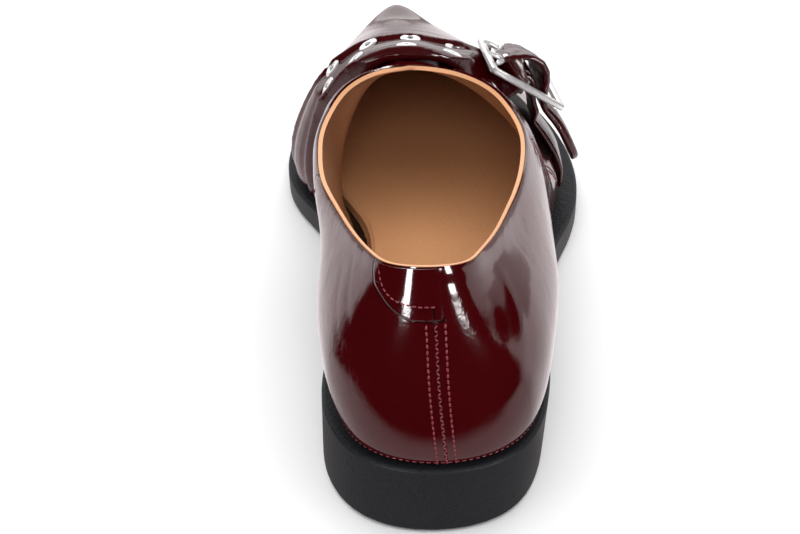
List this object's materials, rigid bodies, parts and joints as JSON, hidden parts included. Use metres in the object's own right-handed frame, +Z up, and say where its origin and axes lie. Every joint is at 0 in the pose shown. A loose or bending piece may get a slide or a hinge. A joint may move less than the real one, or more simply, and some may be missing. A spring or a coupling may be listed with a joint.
{
  "type": "loafer",
  "caption": "Low pointed loafer for a right foot: hollow glossy leather upper with an open collar, low heel, and a padded strap with eyelets and a buckle.",
  "frame": {"origin": "on the floor, under the middle of the shoe's box", "axes": "+Y to the toe, +X to the outer side of the right foot, +Z up"},
  "size_m": [0.0949, 0.2867, 0.0822],
  "materials": {
    "rubber": "satin moulded",
    "patent_leather": "high gloss, finely crinkled",
    "insole_leather": "smooth, matt",
    "steel": "polished"
  },
  "bodies": {
    "root": {"sole": "rubber", "upper": "patent_leather", "strap": "patent_leather", "buckle_strap": "patent_leather", "heel_tab": "patent_leather", "insole": "insole_leather", "buckle_frame": "steel", "prong_back": "steel", "prong_front": "steel", "eyelet_back_0": "steel", "eyelet_back_1": "steel", "eyelet_back_2": "steel", "eyelet_back_3": "steel", "eyelet_back_4": "steel", "eyelet_front_0": "steel", "eyelet_front_1": "steel", "eyelet_front_2": "steel", "eyelet_front_3": "steel", "eyelet_front_4": "steel"}
  },
  "joints": []
}
